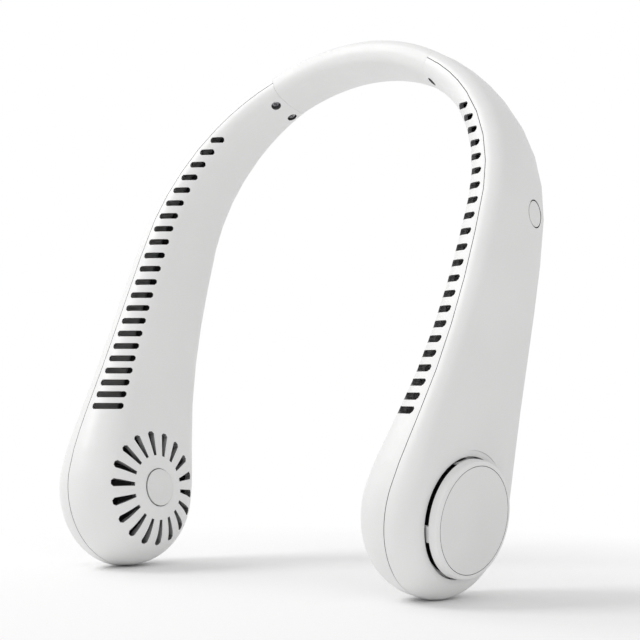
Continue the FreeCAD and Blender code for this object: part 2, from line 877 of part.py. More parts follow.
near, far = scroll_side(0), scroll_side(size("scroll_wall"))
scroll_face = Part.Face(closed(near + far[::-1]))
scroll_solid = scroll_face.extrude(Vector(0, 0, -size("scroll_height")))
scroll_solid.translate(Vector(0, 0, collar_low))
scroll = stood("right_fan_scroll_wall", in_frame(scroll_solid, fan_frame))

# Badge and power button

badge = body_at("right_badge", on_axis(badge_floor))
badge_sketch = sketch_on(badge, "XY_Plane", "badge_outline")
draw_circle(badge_sketch, "badge_radius")
pad(badge, badge_sketch, "badge_thickness", "badge_plate", True)

lip_top = -size("button_lip_drop")
lip_low = lip_top - size("button_lip_height")
switch_top = board_face + total("switch_height + plunger_height")
stem_end = switch_top + size("press_gap")
stem_drop = (stem_end - button_top) / math.cos(math.radians(button_tilt))
button_lip = prism(total("button_radius + button_lip"), lip_low, lip_top)
stem_half = size("stem_radius")
button_stem = Part.makeBox(2 * stem_half, 2 * stem_half, lip_low - stem_drop,
                           Vector(-stem_half, -stem_half, stem_drop))
button_solid = drum(size("button_radius"), lip_top, size("button_rise")).fuse([button_lip, button_stem])
button = stood("power_button_cap", in_frame(button_solid.removeSplitter(), button_frame))

# Wall that keeps the air in the front half of the arm

duct_reaches = [r for r in hollow_reaches if size("duct_top") < r < size("duct_bottom")]
clear = size("seat_gap")
duct_front = total("duct_offset + duct_wall")
low_side = [placed(r, -1)(-duct_front, cavity_height(r, -1, duct_front) - clear) for r in duct_reaches]
high_side = [placed(r, 1)(-duct_front, cavity_height(r, 1, duct_front) - clear) for r in duct_reaches]
duct_face = Part.Face(closed(low_side + high_side[::-1]))
duct = stood("right_air_duct_wall", duct_face.extrude(rear * size("duct_wall")))

# Battery, board, switch and charging socket behind that wall

behind = clear - size("duct_offset")


def block(body, width, length, depth, name):
    sketch = sketch_on(body, "XY_Plane", name + "_outline")
    draw_outline(sketch, [("0", "0"), (width, "0"), (width, length), ("0", length)])
    return pad(body, sketch, depth, name)


cell_length = "end_reach - battery_before_end - battery_after_button - button_reach"
cell_middle = end_reach - size("battery_before_end") - total(cell_length) / 2
cell_frame = frame_at(cell_middle, behind, -size("battery_inset"))
cell_frame = cell_frame.multiply(Placement(Vector(0, -total(cell_length) / 2, 0), Rotation()))
battery = body_at("right_battery", cell_frame)
cell = block(battery, "battery_width", cell_length, "battery_depth", "cell")


def along_y(edge):
    return abs(edge.tangentAt(edge.FirstParameter).y) > 0.99


round_edges(battery, cell, "battery_round", "Chamfer", along_y)

board_frame = frame_at(button_reach, behind, board_face - size("board_thickness"))
board_frame = board_frame.multiply(Placement(Vector(0, -size("board_length") / 2, 0), Rotation()))
board = body_at("main_board", board_frame)
block(board, "board_width", "board_length", "board_thickness", "board_plate")

switch_side = size("switch_size")
switch_spot = button_offset + stem_drop * math.sin(math.radians(button_tilt))
switch_frame = frame_at(button_reach, switch_spot, board_face)
switch = body_at("tact_switch", switch_frame.multiply(
    Placement(Vector(-switch_side / 2, -switch_side / 2, 0), Rotation())))
block(switch, "switch_size", "switch_size", "switch_height", "switch_box")
plunger_sketch = sketch_on(switch, "XY_Plane", "plunger_outline")
inset, edge = "switch_edge", "switch_size - switch_edge"
draw_outline(plunger_sketch, [(inset, inset), (edge, inset), (edge, edge), (inset, edge)])
pad(switch, plunger_sketch, "switch_height + plunger_height", "plunger")

can = level_slot(size("port_width"), size("port_height"), size("port_depth"))
hollow = level_slot(total("port_width - port_wall - port_wall"), total("port_height - port_wall - port_wall"),
                    total("port_depth - port_floor"))
tongue = Part.makeBox(total("port_depth - port_floor"), size("tongue_width"), size("tongue_height"),
                      Vector(-total("port_depth - port_wall"), -size("tongue_width") / 2,
                             -size("tongue_height") / 2))
socket = stood("usb_socket_can", in_frame(can.cut(hollow).fuse(tongue), port_frame))

# Screws

head = prism(size("screw_head_radius"), -sink - size("screw_head_height"), -sink)
one_screw = head.fuse(prism(size("screw_radius"), -sink, screw_tip)).removeSplitter()
pair = []
for offset in sides:
    single = one_screw.copy()
    single.translate(Vector(offset, 0, 0))
    pair.append(single)
screws = stood("right_screw_pair", in_frame(Part.makeCompound(pair), screw_frame))

# Soft sleeve of the band, with a spring strip and a flat cable inside it

sleeve = stood("band_sleeve_skin", band_solid.cut(band_strips(-tail, tail, fit + fit)))
core_strip, cable_strip = band_strips(-tail, tail)
core = stood("band_core_strip", core_strip)
cable = stood("band_cable_strip", cable_strip)
doc.recompute()

# Sub-parts, the left ones mirrored from the right

sub_parts = {
    "band_sleeve": sleeve,
    "band_core": core,
    "band_cable": cable,
    "right_inner_shell": right_inner_shell,
    "right_outer_shell": right_outer_shell,
    "power_button": button,
    "main_board": board,
    "tact_switch": switch,
    "usb_socket": socket,
}
paired = {
    "fan_cap": cap,
    "cap_disc": disc,
    "badge": badge,
    "motor_base": base,
    "stator": stator,
    "impeller": wheel,
    "fan_scroll": scroll,
    "air_duct": duct,
    "battery": battery,
    "screws": screws,
}
for name, piece in paired.items():
    sub_parts["right_" + name] = piece
mirrored = {"inner_shell": inner_shell, "outer_shell": outer_shell}
mirrored.update(paired)
for name, piece in mirrored.items():
    twin = doc.addObject("Part::Mirroring", "left_" + name)
    twin.Source = piece
    twin.Normal = Vector(1, 0, 0)
    sub_parts["left_" + name] = twin
doc.recompute()

for made in doc.Objects:
    if "Invalid" in made.State or "Error" in made.State:
        raise RuntimeError("%s did not build: %s" % (made.Label, made.State))
for label, piece in sub_parts.items():
    piece.Label = label
    if piece.Shape.isNull() or not piece.Shape.isValid():
        raise RuntimeError("%s has no valid shape" % label)

os.makedirs("parts", exist_ok=True)
for label, piece in sorted(sub_parts.items()):
    piece.Shape.exportStep(os.path.join("parts", label + ".step"))
    print("%s: %d solid(s), %.1f mm3" % (label, len(piece.Shape.Solids), piece.Shape.Volume))


def tell(name, place, direction):
    spot = set_down.multVec(place)
    way = lean.multVec(direction)
    print(name, [round(v, 4) for v in spot], [round(v, 5) for v in way])


bend_at = station(band_reach / 2)
tell("flex pivot", bend_at[0], rear)
tell("fan axis", fan_frame.Base, fan_frame.Rotation.multVec(Vector(0, 0, 1)))
tell("button", button_frame.Base, button_frame.Rotation.multVec(Vector(0, 0, 1)))
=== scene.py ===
# %% [markdown]
# # A neck fan in white plastic
#
# The fan is a U that is worn round the neck. A soft band joins two hollow arms, and each arm ends
# in a round blower. The solid pieces come from the imported frame, already in place and in metres,
# and this lesson gives them their finishes, rebuilds the soft band, the screws and the power
# button, and sets up the studio.

# %% Load the frame
import json
import math

import bpy
import numpy as np
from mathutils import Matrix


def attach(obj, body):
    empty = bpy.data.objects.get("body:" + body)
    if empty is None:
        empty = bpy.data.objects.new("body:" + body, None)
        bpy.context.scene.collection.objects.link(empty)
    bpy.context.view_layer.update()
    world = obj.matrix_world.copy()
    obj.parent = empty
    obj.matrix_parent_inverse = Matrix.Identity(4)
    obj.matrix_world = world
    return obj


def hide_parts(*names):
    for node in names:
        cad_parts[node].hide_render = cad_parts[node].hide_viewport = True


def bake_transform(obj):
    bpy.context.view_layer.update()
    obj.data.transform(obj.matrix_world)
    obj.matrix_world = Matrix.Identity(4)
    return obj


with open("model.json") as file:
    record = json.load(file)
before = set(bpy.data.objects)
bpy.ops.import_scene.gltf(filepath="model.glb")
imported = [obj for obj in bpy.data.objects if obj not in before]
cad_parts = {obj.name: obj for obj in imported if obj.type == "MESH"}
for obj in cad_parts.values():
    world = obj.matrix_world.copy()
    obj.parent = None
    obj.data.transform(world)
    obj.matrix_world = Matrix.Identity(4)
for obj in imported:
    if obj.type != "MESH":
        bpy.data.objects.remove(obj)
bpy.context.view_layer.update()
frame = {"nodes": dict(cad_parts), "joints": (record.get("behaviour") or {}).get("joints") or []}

nodes = frame["nodes"]
scene = bpy.context.scene

# %% [markdown]
# ## The line of the U
#
# The real product is bent round the neck along three arcs that run into each other: a crown arc
# over the band, a tighter shoulder, and a long, nearly straight arm. A Bezier curve could be
# drawn by hand through the picture, but arcs keep the same lengths as the solids. Every place on
# the object is a distance along that line from the crown, called its reach, so one function
# serves the band, the screws and the fan.

# %% The arm line as a function
MM = 0.001
LEAN = math.radians(19)
CROWN = np.array([0.0, 42.9534, 220.9412]) * MM
BENDS = ((91.5 * MM, math.radians(54.8)), (86.7 * MM, math.radians(31.9)), (599.0 * MM, math.pi))
LEAN_MATRIX = np.array([
    [1, 0, 0],
    [0, math.cos(LEAN), math.sin(LEAN)],
    [0, -math.sin(LEAN), math.cos(LEAN)],
])
REAR = LEAN_MATRIX @ np.array([0.0, 1.0, 0.0])


def arm_line(reach):
    """Point, direction along the arm and direction out of the U, for an array of reaches.

    Along an arc of radius R the turn angle grows by ds / R, and the point moves by
    R (sin a1 - sin a0) outwards and R (cos a0 - cos a1) down. Negative reaches are on the left."""
    reach = np.atleast_1d(np.asarray(reach, float))
    hand = np.where(reach < 0, -1.0, 1.0)
    left, turn = np.abs(reach), np.zeros_like(reach)
    x, z = np.zeros_like(reach), np.zeros_like(reach)
    for radius, most in BENDS:
        bend = np.minimum(left / radius, most)
        x += radius * (np.sin(turn + bend) - np.sin(turn))
        z -= radius * (np.cos(turn) - np.cos(turn + bend))
        turn, left = turn + bend, left - radius * bend
    zero = np.zeros_like(x)
    point = np.stack([x * hand, zero, z], 1) @ LEAN_MATRIX.T + CROWN
    along = np.stack([np.cos(turn) * hand, zero, -np.sin(turn)], 1) @ LEAN_MATRIX.T
    out = np.stack([np.sin(turn) * hand, zero, np.cos(turn)], 1) @ LEAN_MATRIX.T
    return point, along, out


END_REACH = 251.8 * MM
FAN_AXIS = arm_line(END_REACH)[2][0]
print("right fan axis:", np.round(FAN_AXIS, 4))

# %% [markdown]
# ## Camera
#
# The photograph was taken from the front right, a little below the middle of the object, with a
# long lens. A camera can be moved by eye until the picture fits, but here it was worked out from
# the outlet slots, the ellipses of the cap and the badge, the seams and the outline in the
# picture, which gives the lens as well as the place.

# %% Camera at the photograph's angle
CAMERA_AT = (0.42339, -0.490295, 0.079012)
CAMERA_YAW = math.radians(40.213)
CAMERA_PITCH = math.radians(2.362)
LENS_MM, SENSOR_MM = 87.67, 36.0

camera_data = bpy.data.cameras.new("photo_camera")
camera_data.lens = LENS_MM
camera_data.sensor_width = SENSOR_MM
camera = bpy.data.objects.new("photo_camera", camera_data)
camera.location = CAMERA_AT
camera.rotation_euler = (math.pi / 2 + CAMERA_PITCH, 0, CAMERA_YAW)
scene.collection.objects.link(camera)
scene.camera = camera
print("camera lens:", camera_data.lens)

# %% [markdown]
# ## Nodes that every finish uses
#
# A moulded plastic is never one flat colour: the pigment clouds a little, and the mould's fine
# spark texture breaks up the gloss. An image could carry that, but noise in object coordinates
# needs no unwrapping, has detail at any distance, and does not slide when the object moves. The
# noise mostly stays between 0.3 and 0.7, so ramps and ranges spread that span. A Mix node has
# sockets for numbers, vectors and colours in one row, and the colour ones are picked out by their
# places in it.

# %% Noise, ramps and ranges
NOISE_SPAN = (0.3, 0.7)
MIX_FIRST, MIX_SECOND, MIX_RESULT = 6, 7, 2


def new_material(name):
    """Empty node material with an output and a Principled shader."""
    material = bpy.data.materials.new(name)
    material.use_nodes = True
    tree = material.node_tree
    tree.nodes.clear()
    output = tree.nodes.new("ShaderNodeOutputMaterial")
    shader = tree.nodes.new("ShaderNodeBsdfPrincipled")
    tree.links.new(shader.outputs["BSDF"], output.inputs["Surface"])
    return material, tree, shader


def noise(tree, scale):
    """Noise texture on the piece's own object coordinates, with scale in cycles per metre."""
    place = tree.nodes.new("ShaderNodeTexCoord")
    texture = tree.nodes.new("ShaderNodeTexNoise")
    texture.inputs["Scale"].default_value = scale
    tree.links.new(place.outputs["Object"], texture.inputs["Vector"])
    return texture.outputs["Fac"]


def ramp_between(tree, share, low, high, span=NOISE_SPAN):
    """Colour that runs from low to high as a share goes over the span."""
    ramp = tree.nodes.new("ShaderNodeValToRGB")
    for stop, place, colour in zip(ramp.color_ramp.elements, span, (low, high)):
        stop.position = place
        stop.color = (*colour, 1)
    tree.links.new(share, ramp.inputs["Fac"])
    return ramp.outputs["Color"]


def range_between(tree, share, low, high, span=NOISE_SPAN):
    """Number that runs from low to high as a share goes over the span."""
    spread = tree.nodes.new("ShaderNodeMapRange")
    limits = {"From Min": span[0], "From Max": span[1], "To Min": low, "To Max": high}
    for socket, value in limits.items():
        spread.inputs[socket].default_value = value
    tree.links.new(share, spread.inputs["Value"])
    return spread.outputs["Result"]


def mixed(tree, share, first, second):
    """Colour mixed from first to second, sockets or colours, as the share goes from 0 to 1."""
    mix = tree.nodes.new("ShaderNodeMix")
    mix.data_type = "RGBA"
    tree.links.new(share, mix.inputs["Factor"])
    for colour, socket in ((first, mix.inputs[MIX_FIRST]), (second, mix.inputs[MIX_SECOND])):
        if isinstance(colour, tuple):
            socket.default_value = (*colour, 1)
        else:
            tree.links.new(colour, socket)
    return mix.outputs[MIX_RESULT]


print("helpers ready")

# %% [markdown]
# ## A finish, and painted shade in its crevices
#
# In the slots, the sunburst and the seams of a white plastic the colour looks deeper, because the
# light that has bounced many times into them is lost. Only the lamps could make that shade, but
# then the thin grooves need very many light paths. So the shade is painted into the colour: with
# the share of open space round a point, the colour falls to a deep grey where walls stand close on
# all sides. A tiny rounding of the edges comes the same way.

# %% A finish from noise
GRAIN_HEIGHT = 0.02 * MM
EDGE_RADIUS = 0.2 * MM
# painted shade: the deep grey that the colour falls to in crevices, slots and seams
PAINTED_SHADE_GREY = (0.08, 0.08, 0.083)
# spans of open space over which the painted shade goes from full to none, mild and strong
MILD_PAINTED_SHADE, STRONG_PAINTED_SHADE = (0.3, 0.8), (0.5, 0.95)
SHADE_RAYS, EDGE_RAYS = 16, 6
GLOSS_FINER = 3


def painted_crevice_shade(tree, colour, depth, closed):
    """Colour with painted shade: it falls to the deep grey where the point is closed in, as the
    share of rays shorter than depth that leave it without meeting a surface goes from the second of
    closed down to the first. The floor under the standing ends must not paint shade on them, so the
    lowest millimetres, up to depth, keep their colour."""
    # painted shade: the share of open space round the point darkens the colour
    open_sky = tree.nodes.new("ShaderNodeAmbientOcclusion")
    open_sky.samples = SHADE_RAYS
    open_sky.inputs["Distance"].default_value = depth
    share = range_between(tree, open_sky.outputs["AO"], 0, 1, closed)
    place = tree.nodes.new("ShaderNodeTexCoord")
    height = tree.nodes.new("ShaderNodeSeparateXYZ")
    tree.links.new(place.outputs["Object"], height.inputs[0])
    near_floor = range_between(tree, height.outputs["Z"], 1, 0, (depth, 2 * depth))
    unshaded_share = tree.nodes.new("ShaderNodeMath")
    unshaded_share.operation = "MAXIMUM"
    tree.links.new(share, unshaded_share.inputs[0])
    tree.links.new(near_floor, unshaded_share.inputs[1])
    return mixed(tree, unshaded_share.outputs[0], PAINTED_SHADE_GREY, colour)


def soft_edges(tree, radius):
    """Normal that turns over the radius at an edge, as a moulded edge is slightly rounded."""
    bevel = tree.nodes.new("ShaderNodeBevel")
    bevel.samples = EDGE_RAYS
    bevel.inputs["Radius"].default_value = radius
    return bevel.outputs["Normal"]


def finish(name, low, high, rough, cloud, grain, bump, metal=0.0, depth=0.0, closed=MILD_PAINTED_SHADE):
    """Finish with clouded colour, uneven gloss and a fine raised grain.

    low and high are the colour's limits, rough the roughness limits, cloud and grain the noise
    scales in cycles per metre, bump the strength of the grain, and depth and closed set the painted
    shade in crevices. The gloss varies GLOSS_FINER times as finely as the colour."""
    material, tree, shader = new_material(name)
    shader.inputs["Metallic"].default_value = metal
    colour = ramp_between(tree, noise(tree, cloud), low, high)
    raised = tree.nodes.new("ShaderNodeBump")
    # painted shade in the crevices, and an edge-rounding normal
    if depth:
        colour = painted_crevice_shade(tree, colour, depth, closed)
        tree.links.new(soft_edges(tree, EDGE_RADIUS), raised.inputs["Normal"])
    tree.links.new(colour, shader.inputs["Base Color"])
    gloss = range_between(tree, noise(tree, GLOSS_FINER * cloud), *rough)
    tree.links.new(gloss, shader.inputs["Roughness"])
    raised.inputs["Strength"].default_value = bump
    raised.inputs["Distance"].default_value = GRAIN_HEIGHT
    tree.links.new(noise(tree, grain), raised.inputs["Height"])
    tree.links.new(raised.outputs["Normal"], shader.inputs["Normal"])
    return material


def greys(low, high, warm=0.005):
    """Two greys, a little less blue than red and green."""
    return (low, low, low - warm), (high, high, high - warm)


print("finish helper ready")

# %% [markdown]
# ## White mouldings
#
# The arms, the caps and the button are the same white plastic from moulds with slightly different
# textures: the flat disc in the cap is the mattest, and the silicone band is a little softer in its
# gloss. They are one recipe with different numbers, so the small differences stay easy to compare.
# A row holds the name, the limits of grey and of roughness, the scales of clouds and grain, the
# grain's strength, and how far and how strongly painted shade darkens the crevices. The inner and
# outer shells are the same plastic and differ only in that painted shade.

# %% White finishes
WHITES = {
    # inner and outer shells: same plastic, stronger painted shade on the inner one
    "inner": ("satin_white_inner", (0.78, 0.81), (0.36, 0.44), 25, 2600, 0.12, 6 * MM, STRONG_PAINTED_SHADE),
    "outer": ("satin_white_outer", (0.78, 0.81), (0.36, 0.44), 25, 2600, 0.12, 2 * MM, MILD_PAINTED_SHADE),
    "cap": ("satin_white_cap", (0.79, 0.82), (0.34, 0.42), 30, 2600, 0.12, 2 * MM, MILD_PAINTED_SHADE),
    "disc": ("fine_matt_disc", (0.76, 0.79), (0.46, 0.54), 40, 3200, 0.18, 3 * MM, MILD_PAINTED_SHADE),
    "badge": ("matt_badge", (0.74, 0.78), (0.44, 0.52), 60, 3200, 0.15, 3 * MM, MILD_PAINTED_SHADE),
    "button": ("satin_button", (0.77, 0.8), (0.38, 0.46), 60, 3000, 0.12, 3 * MM, MILD_PAINTED_SHADE),
    "sleeve": ("soft_silicone", (0.78, 0.81), (0.42, 0.5), 35, 1800, 0.15, 2 * MM, MILD_PAINTED_SHADE),
}
FINISHES = {}
for kind, (name, grey, rough, cloud, grain, bump, depth, closed) in WHITES.items():
    FINISHES[kind] = finish(name, *greys(*grey), rough, cloud, grain, bump,
                            depth=depth, closed=closed)
print("white finishes:", sorted(FINISHES))

# %% [markdown]
# ## Pieces inside
#
# Through the slots one sees black mouldings, and behind them are a motor, a cell and a board.
# Each gets the texture that tells it apart: thin steel sheets stacked in the stator, wrinkles in
# the cell's shrink wrap, and paler copper lines under the board's green lacquer.

# %% Stacked sheets and printed lines
SHEET_PITCH, SHEET_SPAN = 0.7 * MM, (0.0, 0.3)
SHEET_METAL, SHEET_ROUGH, SHEET_CLOUD = 0.8, (0.35, 0.5), 400
LINE_SCALE, LINE_SPAN = 350, (0.5, 0.6)
LACQUER_ROUGH, LACQUER_CLOUD = (0.25, 0.4), 250


def stacked(name, sheet, gap):
    """Steel sheets across the fan axis: a sine along that axis, with one wave for each sheet."""
    material, tree, shader = new_material(name)
    shader.inputs["Metallic"].default_value = SHEET_METAL
    place = tree.nodes.new("ShaderNodeTexCoord")
    turn = tree.nodes.new("ShaderNodeVectorMath")
    turn.operation = "DOT_PRODUCT"
    turn.inputs[1].default_value = tuple(FAN_AXIS * 2 * math.pi / SHEET_PITCH)
    wave = tree.nodes.new("ShaderNodeMath")
    wave.operation = "SINE"
    tree.links.new(place.outputs["Object"], turn.inputs[0])
    tree.links.new(turn.outputs["Value"], wave.inputs[0])
    colour = ramp_between(tree, wave.outputs[0], gap, sheet, SHEET_SPAN)
    gloss = range_between(tree, noise(tree, SHEET_CLOUD), *SHEET_ROUGH)
    tree.links.new(colour, shader.inputs["Base Color"])
    tree.links.new(gloss, shader.inputs["Roughness"])
    return material


def printed(name, lacquer, line):
    """Green lacquer over copper lines: paler where a point is far, measured along the axes, from
    the nearest of the points that the cells are scattered round."""
    material, tree, shader = new_material(name)
    place = tree.nodes.new("ShaderNodeTexCoord")
    cells = tree.nodes.new("ShaderNodeTexVoronoi")
    cells.distance = "MANHATTAN"
    cells.inputs["Scale"].default_value = LINE_SCALE
    tree.links.new(place.outputs["Object"], cells.inputs["Vector"])
    colour = ramp_between(tree, cells.outputs["Distance"], lacquer, line, LINE_SPAN)
    gloss = range_between(tree, noise(tree, LACQUER_CLOUD), *LACQUER_ROUGH)
    tree.links.new(colour, shader.inputs["Base Color"])
    tree.links.new(gloss, shader.inputs["Roughness"])
    return material


print("sheet pitch in mm:", round(SHEET_PITCH / MM, 2))

# %% [markdown]
# ## Dark, metal and wrapped finishes
#
# The other pieces inside take the same recipe as the white mouldings, with the colours of black
# plastic, bare steel and blue shrink wrap. They hardly show, so they do without painted shade in
# crevices.

# %% Dark, metal and wrapped finishes
FINISHES |= {
    "dark": finish("dark_moulding", *greys(0.02, 0.035, 0), (0.5, 0.62), 60, 2000, 0.2),
    "wheel": finish("impeller_moulding", *greys(0.03, 0.05, 0), (0.4, 0.5), 60, 2000, 0.2),
    "steel": finish("plated_steel", *greys(0.42, 0.55, -0.02), (0.28, 0.4), 300, 4000, 0.2,
                    metal=1.0),
    "cell": finish("blue_wrap", (0.03, 0.1, 0.3), (0.045, 0.13, 0.36), (0.25, 0.36), 80, 500, 0.5),
    "jacket": finish("black_jacket", *greys(0.015, 0.03, 0), (0.5, 0.6), 200, 2500, 0.2),
    "stator": stacked("stacked_steel", (0.4, 0.4, 0.42), (0.12, 0.12, 0.13)),
    "board": printed("lacquered_board", (0.008, 0.09, 0.035), (0.03, 0.2, 0.08)),
}
print("all finishes:", len(FINISHES))

# %% [markdown]
# ## Smooth shading that keeps real edges
#
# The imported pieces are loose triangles, so each one shades flat. Their meshes stay as they are,
# and a small node modifier joins the edges and shades them smooth, but keeps an edge sharp where
# two faces meet at a steep angle, as a moulded edge does.

# %% Smoothing modifier
SHARP_FROM = math.radians(38)
MERGE_NEAR = 0.004 * MM


def smooth_group(limit, near):
    """Node group: merge by distance, shade smooth, and mark edges over the limit as sharp."""
    group = bpy.data.node_groups.new("smooth_moulding", "GeometryNodeTree")
    group.interface.new_socket("Geometry", in_out="INPUT", socket_type="NodeSocketGeometry")
    group.interface.new_socket("Geometry", in_out="OUTPUT", socket_type="NodeSocketGeometry")
    make, join = group.nodes.new, group.links.new
    start, end = make("NodeGroupInput"), make("NodeGroupOutput")
    merge = make("GeometryNodeMergeByDistance")
    merge.inputs["Distance"].default_value = near
    faces, edges = make("GeometryNodeSetShadeSmooth"), make("GeometryNodeSetShadeSmooth")
    edges.domain = "EDGE"
    edges.inputs["Shade Smooth"].default_value = False
    angle, steep = make("GeometryNodeInputMeshEdgeAngle"), make("FunctionNodeCompare")
    steep.operation = "GREATER_THAN"
    steep.inputs["B"].default_value = limit
    join(start.outputs[0], merge.inputs["Geometry"])
    join(merge.outputs[0], faces.inputs["Geometry"])
    join(faces.outputs[0], edges.inputs["Geometry"])
    join(angle.outputs["Unsigned Angle"], steep.inputs["A"])
    join(steep.outputs[0], edges.inputs["Selection"])
    join(edges.outputs[0], end.inputs[0])
    return group


SMOOTH = smooth_group(SHARP_FROM, MERGE_NEAR)
print("modifier nodes:", len(SMOOTH.nodes))

# %% [markdown]
# ## Finishes on the solid pieces
#
# Left and right twins are the same moulding, so the finish goes by the piece's name without its
# side.

# %% Assign the finishes
NODE_FINISH = {
    "inner_shell": "inner", "outer_shell": "outer", "fan_cap": "cap", "cap_disc": "disc",
    "badge": "badge", "power_button": "button", "band_sleeve": "sleeve", "band_core": "steel",
    "band_cable": "jacket", "screws": "steel", "fan_scroll": "dark", "air_duct": "dark",
    "impeller": "wheel", "motor_base": "dark", "stator": "stator", "battery": "cell",
    "main_board": "board", "tact_switch": "dark", "usb_socket": "steel",
}


def finish_of(node):
    """Finish of a node, the same for its left and right twins."""
    return FINISHES[NODE_FINISH[node.removeprefix("left_").removeprefix("right_")]]


for name, piece in nodes.items():
    piece.data.materials.clear()
    piece.data.materials.append(finish_of(name))
    moulding = piece.modifiers.new("smooth_moulding", "NODES")
    moulding.node_group = SMOOTH
print("finished nodes:", len(nodes))

# %% [markdown]
# ## Rings joined into a skin
#
# The band, the screws and the power button are all rows of rings: a section carried along the
# crown, or circles along an axis. Spin and curve bevel could make them, but with the points
# worked out as one array the same helper joins any rows of rings, closes both ends and turns the
# faces outwards.

# %% Skin over rings
def skin(name, rings, material):
    """Closed mesh over an array of rings, shaped (rings, points, 3): a quad between each two
    neighbours on two rings, and one face over each end with sharp edges. If the signed volume, the
    sum of a . (b x c) over all triangles, is negative, the faces are turned round."""
    rows, count = rings.shape[:2]
    ring, spot = np.meshgrid(np.arange(rows - 1), np.arange(count), indexing="ij")
    here, after = ring * count + spot, ring * count + (spot + 1) % count
    quads = np.stack([here, after, after + count, here + count], -1).reshape(-1, 4)
    last = (rows - 1) * count
    ends = [list(range(count))[::-1], list(range(last, last + count))]
    mesh = bpy.data.meshes.new(name)
    mesh.from_pydata(rings.reshape(-1, 3).tolist(), [], quads.tolist() + ends)
    mesh.polygons.foreach_set("use_smooth", np.arange(len(mesh.polygons)) < len(quads))
    pairs = np.empty(len(mesh.edges) * 2, np.int32)
    mesh.edges.foreach_get("vertices", pairs)
    pairs = pairs.reshape(-1, 2)
    at_end = (pairs < count).all(1) | (pairs >= last).all(1)
    mesh.edges.foreach_set("use_edge_sharp", at_end)
    mesh.calc_loop_triangles()
    corner = np.empty(len(mesh.loop_triangles) * 3, np.int32)
    mesh.loop_triangles.foreach_get("vertices", corner)
    a, b, c = rings.reshape(-1, 3)[corner.reshape(-1, 3)].transpose(1, 0, 2)
    if np.einsum("ij,ij->i", a, np.cross(b, c)).sum() < 0:
        mesh.flip_normals()
    mesh.materials.append(material)
    piece = bpy.data.objects.new(name, mesh)
    scene.collection.objects.link(piece)
    return piece


print("skin helper ready")

# %% [markdown]
# ## The band's section
#
# The band is flush with the arms, so its section is theirs: a shallow dome on each face, rounded
# into the front and rear edges. Three arcs that touch give it, with the same numbers as the
# solids.

# %% Section of the sleeve, and flat strips inside it
BAND_HALF = 11.6 * MM
BAND_INNER, BAND_OUTER = 7.5 * MM, 5.5 * MM
DOME = math.radians(15)
SIDE_SHARE = 0.12
SECTION_STEPS, STRIP_STEPS = 11, 7


def half_section(half, depth):
    """Three tangent arcs: a dome of half angle DOME between two corners, from rear to front.

    With k = tan(DOME / 2), the corner radius is (depth - low - half k) / (1 - k), and the dome's is
    corner + (half - corner) / sin DOME. The arcs start at a height low, SIDE_SHARE of the depth."""
    low, rise = SIDE_SHARE * depth, math.tan(DOME / 2)
    corner = (depth - low - half * rise) / (1 - rise)
    crown = corner + (half - corner) / math.sin(DOME)
    bend = np.linspace(0, math.pi / 2 - DOME, SECTION_STEPS)
    rear = np.stack([half - corner + corner * np.cos(bend), low + corner * np.sin(bend)], 1)
    arch = np.linspace(DOME, -DOME, SECTION_STEPS)[1:-1]
    roof = np.stack([crown * np.sin(arch), depth - crown + crown * np.cos(arch)], 1)
    return np.concatenate([rear, roof, rear[::-1] * (-1, 1)])


def strip_section(width, thickness, height):
    """Flat strip with half-round edges, centred at a height above the arm line."""
    turn = np.linspace(-math.pi / 2, math.pi / 2, STRIP_STEPS)
    round_edge = thickness / 2 * np.stack([np.cos(turn), np.sin(turn)], 1)
    edge = round_edge + (width / 2 - thickness / 2, height)
    return np.concatenate([edge, edge[::-1] * (-1, 1)])


sleeve_section = np.concatenate([
    half_section(BAND_HALF, BAND_OUTER),
    half_section(BAND_HALF, BAND_INNER)[::-1] * (1, -1),
])
print("sleeve section points:", len(sleeve_section))

# %% [markdown]
# ## The soft band
#
# The band is a silicone sleeve that bends when the arms are pulled apart. It could hang on a
# lattice or bones, but a smooth turn from the crown to each arm is all that it does. So each half
# is its section carried along the crown's arc towards its own arm. The spring strip and the flat
# cable inside it are made the same way. The sleeve runs up to the arm's end face and leaves only a
# hairline there.

# %% Halves of the sleeve, the spring strip and the cable
BAND_REACH = 44.5 * MM
SLEEVE_REACH = 44.76 * MM
TAIL_REACH = 47.3 * MM
CORE_WIDTH, CORE_THICKNESS, CORE_HEIGHT = 4.6 * MM, 0.9 * MM, 0.0
CABLE_WIDTH, CABLE_THICKNESS, CABLE_HEIGHT = 4.4 * MM, 1.4 * MM, -3.4 * MM
BAND_RINGS = 49
SIDES = {"left": -1.0, "right": 1.0}

core_section = strip_section(CORE_WIDTH, CORE_THICKNESS, CORE_HEIGHT)
cable_section = strip_section(CABLE_WIDTH, CABLE_THICKNESS, CABLE_HEIGHT)
BAND_PIECES = {
    "band_sleeve": (sleeve_section, SLEEVE_REACH, "white_sleeve"),
    "band_core": (core_section, TAIL_REACH, "spring_steel"),
    "band_cable": (cable_section, TAIL_REACH, "cable_jacket"),
}


def carried(section, reaches):
    """Rings of a section, given as (offset to the rear, height), at each reach along the U."""
    point, _, out = arm_line(reaches)
    return point[:, None] + section[None, :, :1] * REAR + section[None, :, 1:] * out[:, None]


crown_point = tuple(arm_line(0.0)[0][0])
for node, (section, reach, slot_name) in BAND_PIECES.items():
    for side, hand in SIDES.items():
        rings = carried(section, np.linspace(0.0, hand * reach, BAND_RINGS))
        half = skin(side + "_" + node + "_half", rings, finish_of(node))
        band_end = tuple(arm_line(hand * BAND_REACH)[0][0])
        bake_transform(half)
        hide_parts(node)
print("bending pieces:", 2 * len(BAND_PIECES))

# %% [markdown]
# ## Screws
#
# Two small pan head screws hold each arm's shells together near the band, at the bottom of round
# recesses. Boolean cuts could sink the cross, but a height that depends on the place on the head
# does it with clean faces, and a radius that depends on turn and depth gives the thread.

